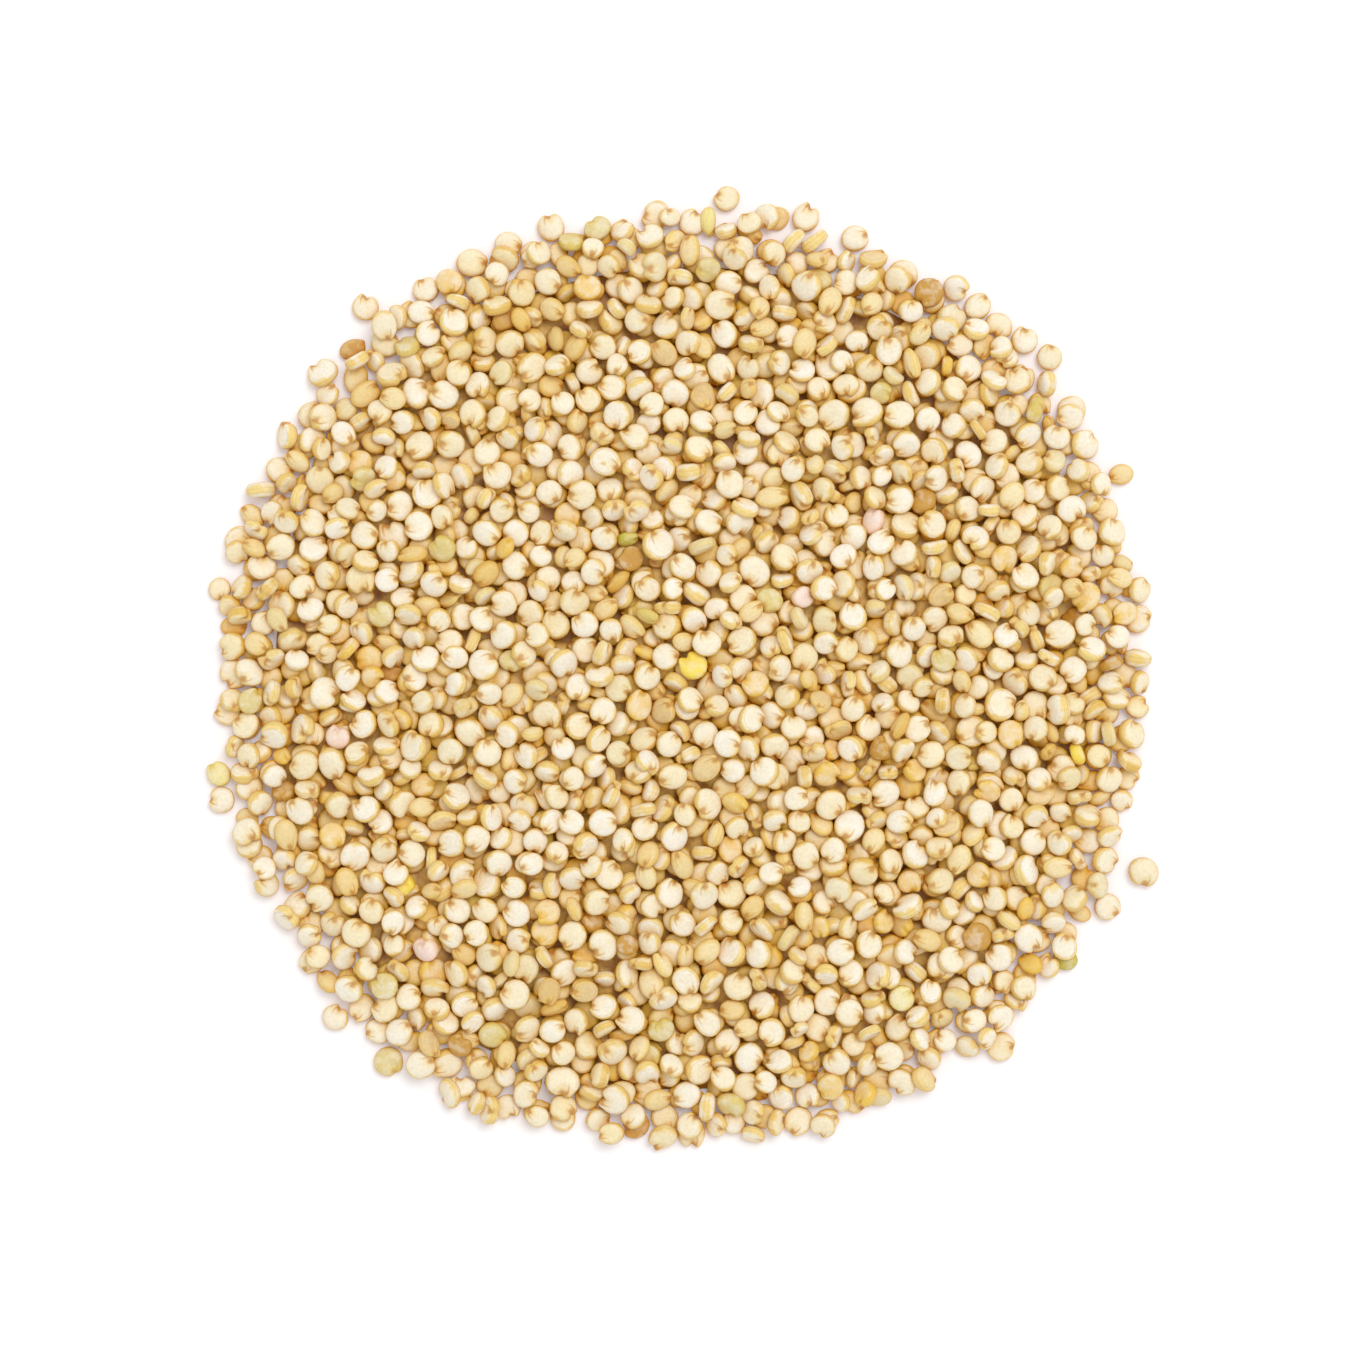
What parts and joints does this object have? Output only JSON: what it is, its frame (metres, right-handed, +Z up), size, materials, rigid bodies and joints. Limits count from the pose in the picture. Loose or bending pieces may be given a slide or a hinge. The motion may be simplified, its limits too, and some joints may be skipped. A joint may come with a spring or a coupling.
{
  "type": "heap of quinoa",
  "caption": "Low, round heap of raw white quinoa lying on a bare surface, with a few loose grains beside its scalloped edge.",
  "frame": {"origin": "centre of the underside's bounding rectangle, on the surface that the heap lies on", "axes": "+Z up, +X to the right and +Y to the top of the picture"},
  "size_m": [0.0766, 0.0782, 0.0051],
  "materials": {
    "quinoa": "dry satin seed coat, cream faces with honey-coloured rims and brown germs"
  },
  "bodies": {
    "root": {"quinoa_heap": "quinoa", "stray_grain_1": "quinoa", "stray_grain_2": "quinoa", "stray_grain_3": "quinoa"}
  },
  "joints": []
}
